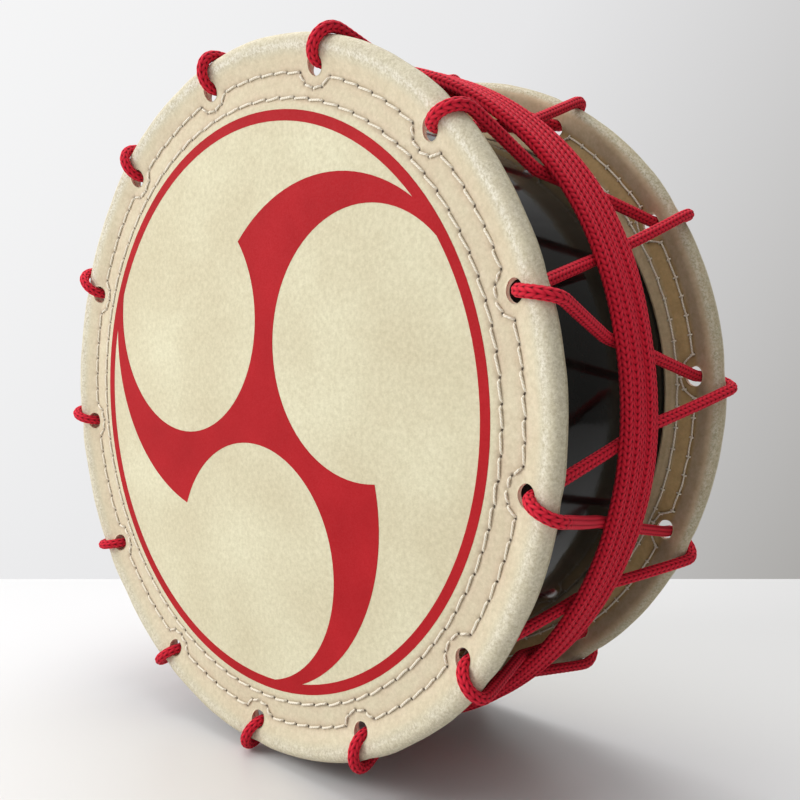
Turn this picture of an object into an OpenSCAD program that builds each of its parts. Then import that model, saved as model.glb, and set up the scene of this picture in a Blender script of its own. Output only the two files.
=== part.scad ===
// Shallow rope-laced tub drum: a lacquered stave shell between two stitched
// hide heads on steel hoops, laced with one rope and bound at the waist.
//
// The drum stands on its rims with its axis along Y, the painted head facing
// -Y. The origin is on the ground, at the middle of the box around the drum.

/* [Shell] */
// Outside diameter of the wooden shell
shell_d = 377; // [375:0.5:378]
// Thickness of the staves
shell_wall = 12; // [8:1:20]
// Number of staves glued into the shell
stave_count = 20; // [12:1:30]
// Distance between the two playing faces
face_gap = 176.5; // [150:0.5:260]

/* [Heads] */
// Diameter over a head's rolled rim
head_d = 454; // [450:1:480]
// Thickness of one layer of hide
hide_t = 1.5; // [1:0.1:1.6]
// How far the rope pulls the hide down just outside the shell
edge_drop = 0.5; // [0.3:0.1:0.8]
// Diameter of the steel rod that each hoop is bent from
hoop_rod_d = 9; // [8:0.5:10]
// Gap between the shell and the cut edge of the folded hide
flap_gap = 0.5; // [0.4:0.1:1]
// Diameter of the lacing holes
hole_d = 12.6; // [12:0.1:13]
// Hide left between a lacing hole and the hoop
hole_edge = 0.8; // [0.6:0.1:1]

/* [Stitching] */
// Distance from the shell to the inner row of stitches on the front head
front_inner_row = 2; // [2:0.5:5]
// Distance between the two rows of stitches on the front head
front_row_gap = 14; // [13:0.5:15]
// Depth of the dips that the front head's outer row makes around the holes
front_dip = 8; // [6:0.5:9]
// Distance from the shell to the inner row of stitches on the rear head
rear_inner_row = 9.5; // [7:0.5:10]
// Distance between the two rows of stitches on the rear head
rear_row_gap = 11; // [9:0.5:11]
// Depth of the dips that the rear head's outer row makes around the holes
rear_dip = 9; // [7:0.5:9]
// Thickness of the thread
thread_d = 1.5; // [1:0.1:2]
// Stitches in an inner row
inner_stitches = 91; // [60:1:110]
// Stitches of the outer row between two lacing holes
outer_stitches_per_bay = 6; // [4:1:8]

/* [Painted figure] */
// Outside radius of the painted ring
ring_r = 184; // [150:1:186]
// Width of the painted ring
ring_w = 6.5; // [3:0.5:12]
// Thickness of the coat of paint
paint_t = 0.15; // [0.1:0.05:0.3]

/* [Rope] */
// Diameter of the rope
rope_d = 7; // [6:0.1:7.2]
// Lacing holes in each head
hole_count = 13; // [11:1:15]
// Angle of the first lacing hole of the front head, anticlockwise from the right
first_hole_a = 74.5; // [0:0.5:90]
// Turns of rope around the waist
waist_turns = 5; // [4:1:6]
// Radius to the middle of the rope in the waist turns
waist_r = 220; // [216:0.5:221]
// Angle of the hitch that holds the end of the waist rope
hitch_a = 199; // [0:1:359]
// Turns of rope in the hitch
hitch_turns = 3; // [2:1:3]

/* [Hidden] */
$fn = 64;
hide_cream = "#dcd4b4";
paint_red = "#b8202c";
rope_red = "#b01c34";
lacquer_black = "#16161a";
thread_cream = "#efe6cc";
steel_grey = "#8c8f92";

hole_step = 360 / hole_count;
flap_edge_r = shell_d / 2 + flap_gap;
front_inner_row_r = shell_d / 2 + front_inner_row;
front_outer_row_r = front_inner_row_r + front_row_gap;
rear_inner_row_r = shell_d / 2 + rear_inner_row;
rear_outer_row_r = rear_inner_row_r + rear_row_gap;
roll_r = hoop_rod_d / 2 + hide_t;
roll_centre_r = head_d / 2 - roll_r;
hole_r_at = roll_centre_r - hoop_rod_d / 2 - hole_d / 2 - hole_edge;

// The rope lies just clear of the rim that it goes around.
rope_gap = 0.1;
loop_r = roll_r + rope_gap + rope_d / 2;
axis_h = roll_centre_r + loop_r + rope_d / 2;

// Half the length of the shell, which reaches from hide to hide
end_gap = 0.1;
shell_half_h = face_gap / 2 - hide_t - end_gap;
// Level between the two layers of a head, seen from its playing face
seam_z = -edge_drop - hide_t;
// Height of the loops' ends from the middle of the drum, along its axis
loop_end_z = face_gap / 2 + seam_z;
// The lacing runs pass just under the waist turns.
under_waist_r = waist_r - rope_d - 0.3;
waist_w = waist_turns * rope_d;
crossing_half_z = waist_w / 2 + 2;
crossing_half_a = hole_step / 4 * 0.2;
rope_sides = 10;

stave_names = [for (i = [1:stave_count]) str("stave_", i < 10 ? "0" : "", i)];

// Stands the drum up: what is drawn around the Z axis turns to lie along Y,
// with +Z becoming the front.
module drum_axes() {
    translate([0, 0, axis_h]) rotate([90, 0, 0]) children();
}

// Frame of one head: the playing face is at z = 0 and +z leads out of the drum.
module on_head(front) {
    drum_axes()
        mirror([0, 0, front ? 0 : 1])
            translate([0, 0, face_gap / 2]) children();
}

// Lacing holes of the rear head sit halfway between those of the front head.
function hole_angle(front, i) = first_hole_a + (i + (front ? 0 : 0.5)) * hole_step;

// ---- shell ----

module stave(i) {
    color(lacquer_black)
        drum_axes()
            rotate([0, 0, i * 360 / stave_count])
                rotate_extrude(angle = 360 / stave_count, $fn = 180)
                    translate([shell_d / 2 - shell_wall, -shell_half_h])
                        square([shell_wall, 2 * shell_half_h]);
}

// ---- heads ----

// Half section of a head: one layer over the shell, two layers from the flap's
// edge out to the hoop, and the hide rolled around the hoop.
module hide_section(outer_row_r) {
    part_r = outer_row_r + thread_d;
    roll_centre = [roll_centre_r, seam_z];
    // Both layers lean out to touch the roll.
    lean = asin((roll_r - hide_t) / (roll_centre_r - part_r));
    arc_step = 10;
    roll = [for (a = [90 + lean:-arc_step:-90 - lean]) roll_centre + roll_r * [cos(a), sin(a)]];
    difference() {
        polygon(concat(
            [[0, 0], [shell_d / 2, 0], [flap_edge_r, -edge_drop], [part_r, -edge_drop]],
            roll,
            [
                [part_r, seam_z - hide_t], [flap_edge_r, seam_z - hide_t],
                [flap_edge_r, -hide_t], [0, -hide_t]
            ]
        ));
        translate(roll_centre) circle(d = hoop_rod_d);
    }
}

module hide(front) {
    punch_h = 4 * roll_r;
    color(hide_cream)
        on_head(front)
            difference() {
                rotate_extrude($fn = 180)
                    hide_section(front ? front_outer_row_r : rear_outer_row_r);
                for (i = [0:hole_count - 1])
                    rotate([0, 0, hole_angle(front, i)]) {
                        translate([hole_r_at, 0, -punch_h / 2])
                            cylinder(d = hole_d, h = punch_h);
                        lacing_loop(rope_d + rope_gap);
                    }
            }
}

module hoop(front) {
    color(steel_grey)
        on_head(front)
            rotate_extrude($fn = 180)
                translate([roll_centre_r, seam_z]) circle(d = hoop_rod_d);
}

// One stitch: a bar of thread on each side of the hide, between two points
// given as [radius, angle].
module stitch(from, to) {
    a = [from[0] * cos(from[1]), from[0] * sin(from[1])];
    b = [to[0] * cos(to[1]), to[0] * sin(to[1])];
    run = b - a;
    gap = 1.6;
    lift = hide_t + thread_d / 2;
    for (z = [seam_z + lift, seam_z - lift])
        translate([a.x, a.y, z])
            rotate([0, 0, atan2(run.y, run.x)])
                translate([gap / 2, 0, 0])
                    rotate([0, 90, 0])
                        cylinder(d = thread_d, h = norm(run) - gap, $fn = 16);
}

module inner_stitching(front) {
    r = front ? front_inner_row_r : rear_inner_row_r;
    step = 360 / inner_stitches;
    color(thread_cream)
        on_head(front)
            for (i = [0:inner_stitches - 1])
                stitch([r, i * step], [r, (i + 1) * step]);
}

// The outer row runs between the holes and dips inwards around each of them.
function outer_row(r, dip) =
    let (dip_a = 3.7, shoulder_a = 0.6 * dip_a, shoulder = 0.75 * dip)
    concat(
        [[r, -dip_a], [r - shoulder, -shoulder_a], [r - dip, 0], [r - shoulder, shoulder_a]],
        [for (k = [0:outer_stitches_per_bay])
            [r, dip_a + k * (hole_step - 2 * dip_a) / outer_stitches_per_bay]]
    );

module outer_stitching(front) {
    row = front ? outer_row(front_outer_row_r, front_dip)
                : outer_row(rear_outer_row_r, rear_dip);
    color(thread_cream)
        on_head(front)
            for (i = [0:hole_count - 1], k = [0:len(row) - 2])
                let (turn = [0, hole_angle(front, i)])
                    stitch(row[k] + turn, row[k + 1] + turn);
}

// Three comma-shaped arms whirling inside a ring.
module figure_outline() {
    inside_r = ring_r - 0.75 * ring_w;
    arm_r = 0.65 * ring_r;
    arm_at = 0.363 * ring_r;
    field_r = 0.43 * ring_r;
    field_at = 0.553 * ring_r;
    first_arm_a = 18.5;
    first_field_a = 24;
    overlap_a = 2;
    difference() {
        circle(r = ring_r, $fn = 180);
        circle(r = ring_r - ring_w, $fn = 180);
    }
    difference() {
        for (i = [0:2])
            rotate([0, 0, i * 120])
                intersection() {
                    circle(r = inside_r, $fn = 180);
                    rotate([0, 0, first_arm_a]) translate([arm_at, 0]) circle(r = arm_r, $fn = 128);
                    rotate([0, 0, first_field_a])
                        polygon([
                            [0, 0], 2 * ring_r * [cos(overlap_a), -sin(overlap_a)],
                            [2 * ring_r, 2 * ring_r],
                            2 * ring_r * [cos(120), sin(120)]
                        ]);
                }
        for (i = [0:2])
            rotate([0, 0, first_field_a + i * 120])
                translate([field_at, 0]) circle(r = field_r, $fn = 128);
    }
}

module painted_figure() {
    color(paint_red)
        on_head(true)
            linear_extrude(paint_t) figure_outline();
}

// ---- rope ----

// Half turn of rope from a lacing hole around the rim to its outside.
module lacing_loop(d = rope_d) {
    translate([roll_centre_r, 0, seam_z])
        rotate([90, 0, 0])
            rotate_extrude(angle = 180)
                translate([loop_r, 0]) circle(d = d, $fn = 32);
}

module lacing_loops(front) {
    color(rope_red)
        on_head(front)
            for (i = [0:hole_count - 1])
                rotate([0, 0, hole_angle(front, i)]) lacing_loop();
}

function around(r, a, z) = [r * cos(a), r * sin(a), z];
function unit(v) = v / norm(v);

// Ring of points around a point of the rope's route, square to its direction.
function rope_ring(centre, direction) =
    let (
        across = unit(cross(direction, [centre.x, centre.y, 0])),
        outwards = cross(across, direction)
    )
    [for (k = [0:rope_sides - 1])
        let (a = k * 360 / rope_sides)
        centre + rope_d / 2 * (cos(a) * outwards + sin(a) * across)];

// Rope along a route of straight lengths; its two ends are square to the
// drum's axis, as the loops' ends are.
module rope_tube(route, axis) {
    last = len(route) - 1;
    points = [for (i = [0:last])
        each rope_ring(route[i], i == 0 || i == last ? axis : unit(route[i + 1] - route[i - 1]))];
    sides = [for (i = [0:last - 1], k = [0:rope_sides - 1])
        let (a = i * rope_sides, k2 = (k + 1) % rope_sides)
        [a + k, a + rope_sides + k, a + rope_sides + k2, a + k2]];
    start_cap = [for (k = [0:rope_sides - 1]) k];
    end_cap = [for (k = [rope_sides - 1:-1:0]) last * rope_sides + k];
    polyhedron(points, concat(sides, [start_cap, end_cap]));
}

// One run of the lacing: straight off the outside of a rim, down under the
// waist turns and into the next hole of the other head.
module lacing_run(front, i) {
    side = front ? 1 : -1;
    start_a = hole_angle(front, i);
    mid_a = start_a - hole_step / 4;
    rope_tube([
        around(roll_centre_r + loop_r, start_a, side * loop_end_z),
        around(roll_centre_r + loop_r, start_a, side * (loop_end_z - roll_r)),
        around(under_waist_r, mid_a + crossing_half_a, side * crossing_half_z),
        around(under_waist_r, mid_a - crossing_half_a, -side * crossing_half_z),
        around(roll_centre_r - loop_r, start_a - hole_step / 2, -side * loop_end_z)
    ], [0, 0, -side]);
}

module lacing_runs() {
    color(rope_red)
        drum_axes()
            for (front = [true, false], i = [0:hole_count - 1]) lacing_run(front, i);
}

// The turns lie side by side; a flat core joins them where they touch.
module waist_rope() {
    color(rope_red)
        drum_axes()
            rotate_extrude($fn = 180) {
                for (i = [0:waist_turns - 1])
                    translate([waist_r, (i - (waist_turns - 1) / 2) * rope_d])
                        circle(d = rope_d, $fn = 32);
                translate([waist_r - rope_d / 4, -(waist_w - rope_d) / 2])
                    square([rope_d / 2, waist_w - rope_d]);
            }
}

// One turn of the hitch, wound around the waist turns as a flat ring.
module hitch_turn() {
    inner_w = waist_w + 0.4;
    inner_t = rope_d + 0.4;
    translate([0, -rope_d / 2, 0])
        rotate([-90, 0, 0])
            difference() {
                linear_extrude(rope_d)
                    square([inner_t + 2 * rope_d, inner_w + 2 * rope_d], center = true);
                translate([0, 0, -1]) linear_extrude(rope_d + 2)
                    square([inner_t, inner_w], center = true);
            }
}

module waist_hitch() {
    color(rope_red)
        drum_axes()
            for (i = [0:hitch_turns - 1]) {
                turn_a = (i - (hitch_turns - 1) / 2) * (rope_d + 0.3) / waist_r * 180 / PI;
                rotate([0, 0, hitch_a + turn_a]) translate([waist_r, 0, 0]) hitch_turn();
            }
}

for (i = [0:stave_count - 1])
    stave(i);
hide(true);  // front_hide
hoop(true);  // front_hoop
inner_stitching(true);  // front_inner_stitching
outer_stitching(true);  // front_outer_stitching
painted_figure();  // front_painted_figure
lacing_loops(true);  // front_lacing_loops
hide(false);  // rear_hide
hoop(false);  // rear_hoop
inner_stitching(false);  // rear_inner_stitching
outer_stitching(false);  // rear_outer_stitching
lacing_loops(false);  // rear_lacing_loops
lacing_runs();
waist_rope();
waist_hitch();
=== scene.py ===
import math

import bpy
import numpy as np
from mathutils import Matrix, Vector


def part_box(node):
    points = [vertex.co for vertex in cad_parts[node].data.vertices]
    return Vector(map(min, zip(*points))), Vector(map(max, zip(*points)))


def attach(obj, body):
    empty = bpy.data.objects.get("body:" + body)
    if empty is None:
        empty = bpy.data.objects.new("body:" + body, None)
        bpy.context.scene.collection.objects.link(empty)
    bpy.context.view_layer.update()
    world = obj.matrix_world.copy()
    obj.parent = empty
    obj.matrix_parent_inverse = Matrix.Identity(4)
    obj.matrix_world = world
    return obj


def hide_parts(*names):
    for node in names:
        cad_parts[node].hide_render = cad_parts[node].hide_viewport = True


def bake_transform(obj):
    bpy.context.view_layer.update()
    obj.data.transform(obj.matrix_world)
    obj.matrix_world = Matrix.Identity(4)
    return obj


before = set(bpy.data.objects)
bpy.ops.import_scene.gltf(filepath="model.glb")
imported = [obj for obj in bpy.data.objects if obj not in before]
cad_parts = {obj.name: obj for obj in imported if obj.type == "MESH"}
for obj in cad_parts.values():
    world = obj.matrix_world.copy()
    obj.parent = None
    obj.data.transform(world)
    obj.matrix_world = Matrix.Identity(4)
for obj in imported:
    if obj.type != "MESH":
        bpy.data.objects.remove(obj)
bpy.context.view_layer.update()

# Lengths are in millimetres and angles in degrees, unless a comment says otherwise.
MM = 0.001
TAU = 2 * math.pi
rng = np.random.default_rng(7)


# ---------------------------------------------------------------- measures

def box_mm(name):
    lo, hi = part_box(name)
    return np.array(lo) / MM, np.array(hi) / MM


staves = sorted(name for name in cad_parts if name.startswith("stave_"))
stave_boxes = [box_mm(name) for name in staves]
hide_lo, hide_hi = box_mm("front_hide")
hoop_lo, hoop_hi = box_mm("front_hoop")
waist_lo, waist_hi = box_mm("waist_rope")

AXIS_Z = (hide_lo[2] + hide_hi[2]) / 2
HEAD_R = (hide_hi[0] - hide_lo[0]) / 2
# Distance of a playing face from the drum's middle
FACE = -box_mm("front_painted_figure")[1][1]
SHELL_R = max(hi[0] for lo, hi in stave_boxes)
SHELL_HALF = max(hi[1] for lo, hi in stave_boxes)

# The waist rope's middle line, and that of the laces where they pass under it
WAIST_TURNS = 5
ROPE_D = (waist_hi[1] - waist_lo[1]) / WAIST_TURNS
WAIST_R = (waist_hi[0] - waist_lo[0]) / 2 - ROPE_D / 2
UNDER_R = WAIST_R - ROPE_D - 0.3
HITCH_A = 199.0
HITCH_TURNS = 3

# A head: its edge lies DROP below the playing face, and its two layers meet at SEAM_Z
HIDE_T = 1.5
DROP = 0.5
SEAM_Z = -DROP - HIDE_T
UNDERSIDE_Z = SEAM_Z - HIDE_T
FLAP_R = SHELL_R + 0.5
HOOP_R = (hoop_hi[1] - hoop_lo[1]) / 2
ROLL_R = HOOP_R + HIDE_T
ROLL_AT = HEAD_R - ROLL_R

# Lacing holes, and the lace's bend round the rim
HOLES = 13
STEP = 360 / HOLES
FIRST_A = 74.5
HOLE_R = 6.3
HOLE_AT = ROLL_AT - HOOP_R - HOLE_R - 0.8
LOOP_R = ROLL_R + ROPE_D / 2 + 0.5
LACE_LEAN = 2.3

# Stitch rows of the front head (True) and the rear head (False): the inner row's radius, the outer row's,
# and how far the outer row dips inwards at a lacing hole
ROWS = {True: (190.5, 204.5, 8.0), False: (198.0, 209.0, 9.0)}
INNER_STITCHES = 91
BAY_STITCHES = 6

# Grid of a hide: cells between two lacing holes, the angle and the width of a cell, and the half widths in
# cells of a hole and of the stretch of grid that makes way for it
PER = 80
CELL_A = 360 / (PER * HOLES)
CELL = TAU * HOLE_AT / PER / HOLES
HOLE_CELLS = 4
CALM_CELLS = 7


def first_hole(front):
    return FIRST_A + (0 if front else STEP / 2)


def hole_angle(front, k):
    return FIRST_A + (k + (0 if front else 0.5)) * STEP


def place(front, r, a, z):
    """Head frame (radius, angle, height out of the playing face) to the shared frame, in metres."""
    t = np.radians(a)
    side = -1.0 if front else 1.0
    return np.stack([r * np.cos(t), side * (FACE + z) + 0 * r, AXIS_Z + r * np.sin(t)], -1) * MM


def around(r, a, y):
    """Drum cylinder (radius, angle, distance behind the drum's middle) to the shared frame."""
    t = np.radians(a)
    return np.stack([r * np.cos(t), y + 0 * r, AXIS_Z + r * np.sin(t)], -1)


# The drum is laced a little askew. At its rear it is turned, in radians, and stands further right and
# higher, and the rear head leans by these slopes.
REAR_TURN = -0.007
REAR_RIGHT = 1.7
REAR_UP = 4.8
LEAN_X = 0.0093
LEAN_Z = -0.0068


def settled(points):
    """Points of the true drum, in metres, to those of the drum laced askew."""
    P = np.array(points, float)
    w = np.clip((P[:, 1] / MM + FACE) / (2 * FACE), 0, 1)
    x, z = P[:, 0].copy(), P[:, 2] - AXIS_Z * MM
    c, s = np.cos(REAR_TURN * w), np.sin(REAR_TURN * w)
    P[:, 0] = c * x - s * z + w * REAR_RIGHT * MM
    P[:, 1] += w * w * (LEAN_X * x + LEAN_Z * z)
    P[:, 2] = AXIS_Z * MM + s * x + c * z + w * REAR_UP * MM
    return P


# ---------------------------------------------------------------- curves

def bell(x, width):
    """1 where x is 0, dying away smoothly over the width."""
    return np.exp(-((x / width) ** 2))


def rise(x, start, width):
    """0 up to the start, then a straight rise to 1 over the width."""
    return np.clip((x - start) / width, 0, 1)


def fall(x, start, width):
    return 1 - rise(x, start, width)


def ease(t):
    """0 to 1 with a level start and a level end."""
    return t * t * (3 - 2 * t)


def off_angle(a, middle):
    """Angle from the middle one, between -180 and 180."""
    return (a - middle + 180) % 360 - 180


def wave(a, seed, terms=((1, 1.0), (2, 0.7), (3, 0.5), (5, 0.35), (8, 0.25))):
    """A smooth wobble of about unit size around the drum; terms are (waves in a turn, size)."""
    g = np.random.default_rng(seed)
    t = np.radians(a)
    out = 0 * t
    for n, w in terms:
        out = out + w * np.sin(n * t + g.uniform(0, TAU))
    return out / 1.4


# ---------------------------------------------------------------- mesh

def make_mesh(name, verts, faces, uv=None, attrs=None):
    """verts are in metres, faces is a list of (n, k) arrays, and uv has the loops' UVs in the same order."""
    me = bpy.data.meshes.new(name)
    loops = np.concatenate([f.reshape(-1) for f in faces]).astype(np.int32)
    sizes = np.concatenate([np.full(len(f), f.shape[1], np.int32) for f in faces])
    starts = np.concatenate([[0], np.cumsum(sizes)[:-1]]).astype(np.int32)
    me.vertices.add(len(verts))
    me.vertices.foreach_set("co", settled(verts).astype(np.float32).reshape(-1))
    me.loops.add(len(loops))
    me.loops.foreach_set("vertex_index", loops)
    me.polygons.add(len(sizes))
    me.polygons.foreach_set("loop_start", starts)
    me.polygons.foreach_set("loop_total", sizes)
    me.update(calc_edges=True)
    me.validate()
    if uv is not None:
        layer = me.uv_layers.new(name="UVMap")
        layer.data.foreach_set("uv", np.asarray(uv, np.float32).reshape(-1))
    for key, values in (attrs or {}).items():
        at = me.attributes.new(key, "FLOAT", "POINT")
        at.data.foreach_set("value", np.asarray(values, np.float32))
    me.polygons.foreach_set("use_smooth", np.full(len(me.polygons), True))
    ob = bpy.data.objects.new(name, me)
    bpy.context.scene.collection.objects.link(ob)
    return ob


def clothe(obj, *mats):
    obj.data.materials.clear()
    for m in mats:
        obj.data.materials.append(m)


# ---------------------------------------------------------------- shader nodes

def new_mat(name):
    m = bpy.data.materials.new(name)
    m.use_nodes = True
    nt = m.node_tree
    return m, nt, nt.nodes["Principled BSDF"]


def node(nt, kind, **kw):
    n = nt.nodes.new(kind)
    for k, v in kw.items():
        if k in n.inputs:
            n.inputs[k].default_value = v
        else:
            setattr(n, k, v)
    return n


def noise(nt, coord, scale, detail=3.0, rough=0.5):
    n = node(nt, "ShaderNodeTexNoise", Scale=scale, Detail=detail, Roughness=rough)
    nt.links.new(coord, n.inputs["Vector"])
    return n.outputs["Fac"]


def ramp(nt, fac, stops):
    n = nt.nodes.new("ShaderNodeValToRGB")
    els = n.color_ramp.elements
    while len(els) < len(stops):
        els.new(0.5)
    for e, (p, c) in zip(els, stops):
        e.position = p
        e.color = (*c, 1)
    nt.links.new(fac, n.inputs["Fac"])
    return n.outputs["Color"]


def mix(nt, fac, a, b, blend="MIX"):
    n = nt.nodes.new("ShaderNodeMix")
    n.data_type = "RGBA"
    n.blend_type = blend
    for sock, v in ((n.inputs["Factor"], fac), (n.inputs[6], a), (n.inputs[7], b)):
        if isinstance(v, (int, float)):
            sock.default_value = v
        elif isinstance(v, tuple):
            sock.default_value = (*v, 1)
        else:
            nt.links.new(v, sock)
    return n.outputs[2]


def maths(nt, op, a, b=None, clamp=False):
    n = nt.nodes.new("ShaderNodeMath")
    n.operation = op
    n.use_clamp = clamp
    for i, v in enumerate((a, b)):
        if v is None:
            continue
        if isinstance(v, (int, float)):
            n.inputs[i].default_value = v
        else:
            nt.links.new(v, n.inputs[i])
    return n.outputs[0]


def times(nt, a, b):
    return maths(nt, "MULTIPLY", a, b)


def masked(nt, a, b):
    """The product of two masks, kept between 0 and 1."""
    return maths(nt, "MULTIPLY", a, b, clamp=True)


def remap(nt, v, lo, hi, a=0.0, b=1.0):
    n = nt.nodes.new("ShaderNodeMapRange")
    n.inputs["From Min"].default_value = lo
    n.inputs["From Max"].default_value = hi
    n.inputs["To Min"].default_value = a
    n.inputs["To Max"].default_value = b
    nt.links.new(v, n.inputs["Value"])
    return n.outputs["Result"]


def bump(nt, height, distance, strength=1.0, normal=None):
    n = nt.nodes.new("ShaderNodeBump")
    n.inputs["Strength"].default_value = strength
    n.inputs["Distance"].default_value = distance
    nt.links.new(height, n.inputs["Height"])
    if normal is not None:
        nt.links.new(normal, n.inputs["Normal"])
    return n.outputs["Normal"]


def attribute(nt, name):
    n = nt.nodes.new("ShaderNodeAttribute")
    n.attribute_name = name
    return n.outputs["Fac"]


def object_coords(nt):
    return nt.nodes.new("ShaderNodeTexCoord").outputs["Object"]


def tube_coords(nt):
    """A tube's own UVs: u once around, v in millimetres along."""
    sep = nt.nodes.new("ShaderNodeSeparateXYZ")
    nt.links.new(nt.nodes.new("ShaderNodeTexCoord").outputs["UV"], sep.inputs[0])
    return sep.outputs[0], sep.outputs[1]


def stretched(nt, coord, scale):
    n = nt.nodes.new("ShaderNodeMapping")
    n.inputs["Scale"].default_value = scale
    nt.links.new(coord, n.inputs["Vector"])
    return n.outputs["Vector"]


# ---------------------------------------------------------------- materials

def hide_material(name):
    """Raw hide: cloudy and suede-grained, pinker round the seams, scraped pale on the rolled rim with a
    painted highlight over the top, brown inside with painted shade on the inside of the rim, and painted
    shade in the needle holes and along the stitches. The masks are attributes of the hide's mesh."""
    m, nt, bsdf = new_mat(name)
    co = object_coords(nt)
    cloud = noise(nt, co, 14, 4, 0.55)
    patch = noise(nt, co, 55, 3, 0.55)
    blotch = noise(nt, co, 120, 4, 0.6)
    grain = noise(nt, co, 900, 4, 0.7)
    speck = noise(nt, co, 2600, 2, 0.6)
    mottle = noise(nt, co, 330, 5, 0.7)
    fibre = noise(nt, co, 1500, 3, 0.7)
    scraped = remap(nt, noise(nt, co, 650, 4, 0.8), 0.36, 0.62)
    worn = remap(nt, noise(nt, co, 90, 4, 0.7), 0.3, 0.6, 0.55, 1.0)
    back = attribute(nt, "back")

    outside = mix(nt, remap(nt, cloud, 0.36, 0.66), (0.680, 0.620, 0.435), (0.770, 0.730, 0.530))
    seam = masked(nt, attribute(nt, "seam"), remap(nt, patch, 0.3, 0.7, 0.5, 1.0))
    outside = mix(nt, seam, outside, mix(nt, blotch, (0.66, 0.505, 0.365), (0.78, 0.655, 0.505)))

    band = masked(nt, attribute(nt, "band"), remap(nt, patch, 0.25, 0.75, 0.8, 1.0))
    inside = mix(nt, band, (0.76, 0.60, 0.36), (0.62, 0.42, 0.18))
    inside = mix(nt, attribute(nt, "outer"), inside, (0.58, 0.45, 0.30))
    streaks = masked(nt, attribute(nt, "streaks"), remap(nt, blotch, 0.3, 0.7, 0.3, 1.0))
    inside = mix(nt, streaks, inside, (0.88, 0.72, 0.47))
    inside = mix(nt, remap(nt, blotch, 0.42, 0.72, 0.0, 0.3), inside, (0.36, 0.22, 0.09))
    col = mix(nt, back, outside, inside)

    rim_outside = mix(nt, scraped, (0.52, 0.46, 0.33), (0.76, 0.71, 0.57))
    # the inside of the rim is the same hide as the outside, painted darker as painted shade
    rim_inside_painted_shade = mix(nt, scraped, (0.34, 0.30, 0.19), (0.60, 0.56, 0.42))
    col = mix(nt, masked(nt, attribute(nt, "rim"), worn), col, mix(nt, back, rim_outside, rim_inside_painted_shade))
    # a scraped pale crest on the rim, with a painted highlight that is brightest over the top
    crest_wear_and_highlight = masked(nt, attribute(nt, "crest_wear_and_highlight"), remap(nt, scraped, 0.2, 0.8, 0.0, 0.65))
    col = mix(nt, crest_wear_and_highlight, col, (0.92, 0.90, 0.82))

    col = mix(nt, remap(nt, patch, 0.42, 0.75, 0.0, 0.16), col, (0.60, 0.52, 0.35))
    col = mix(nt, remap(nt, grain, 0.38, 0.62, 0.0, 0.15), col, (0.50, 0.43, 0.30))
    # painted shade in the needle holes, and a fainter painted shadow of the thread along the stitch lines
    col = mix(nt, masked(nt, attribute(nt, "needle_hole_and_thread_shade"), 1.3), col, (0.045, 0.028, 0.018))
    shade = mix(nt, remap(nt, mottle, 0.35, 0.65), (0.85, 0.84, 0.80), (1.0, 1.0, 1.0))
    col = mix(nt, 1.0, col, shade, "MULTIPLY")
    col = mix(nt, attribute(nt, "cut"), col, mix(nt, fibre, (0.82, 0.68, 0.50), (0.95, 0.85, 0.68)))
    nt.links.new(col, bsdf.inputs["Base Color"])
    nt.links.new(remap(nt, grain, 0.3, 0.7, 0.66, 0.86), bsdf.inputs["Roughness"])
    bsdf.inputs["Specular IOR Level"].default_value = 0.25
    n1 = bump(nt, cloud, 0.0012, 0.5)
    n2 = bump(nt, grain, 0.00022, 0.8, n1)
    n3 = bump(nt, speck, 0.00008, 0.8, n2)
    nt.links.new(n3, bsdf.inputs["Normal"])
    return m


def paint_material():
    m, nt, bsdf = new_mat("red_paint_on_hide")
    co = object_coords(nt)
    cloud = noise(nt, co, 22, 4, 0.55)
    grain = noise(nt, co, 900, 4, 0.7)
    thin = noise(nt, co, 1500, 3, 0.75)
    col = mix(nt, remap(nt, cloud, 0.3, 0.7), (0.37, 0.0065, 0.011), (0.455, 0.011, 0.017))
    col = mix(nt, remap(nt, grain, 0.4, 0.65, 0.0, 0.25), col, (0.33, 0.0055, 0.009))
    col = mix(nt, remap(nt, thin, 0.68, 0.80, 0.0, 0.5), col, (0.72, 0.20, 0.14))
    nt.links.new(col, bsdf.inputs["Base Color"])
    nt.links.new(remap(nt, grain, 0.3, 0.7, 0.6, 0.8), bsdf.inputs["Roughness"])
    bsdf.inputs["Specular IOR Level"].default_value = 0.15
    n1 = bump(nt, cloud, 0.0010, 0.5)
    n2 = bump(nt, grain, 0.00018, 0.8, n1)
    nt.links.new(n2, bsdf.inputs["Normal"])
    return m


def lacquer_material():
    m, nt, bsdf = new_mat("black_lacquer")
    co = object_coords(nt)
    haze = noise(nt, co, 30, 4, 0.6)
    peel = noise(nt, co, 260, 2, 0.5)
    dust = noise(nt, co, 3200, 2, 0.6)
    col = mix(nt, remap(nt, haze, 0.3, 0.7), (0.007, 0.008, 0.007), (0.014, 0.014, 0.012))
    col = mix(nt, remap(nt, dust, 0.70, 0.78, 0.0, 0.45), col, (0.16, 0.15, 0.13))
    nt.links.new(col, bsdf.inputs["Base Color"])
    nt.links.new(remap(nt, haze, 0.3, 0.7, 0.05, 0.14), bsdf.inputs["Roughness"])
    bsdf.inputs["Specular IOR Level"].default_value = 0.12
    nt.links.new(bump(nt, peel, 0.00006, 0.6), bsdf.inputs["Normal"])
    return m


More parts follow.
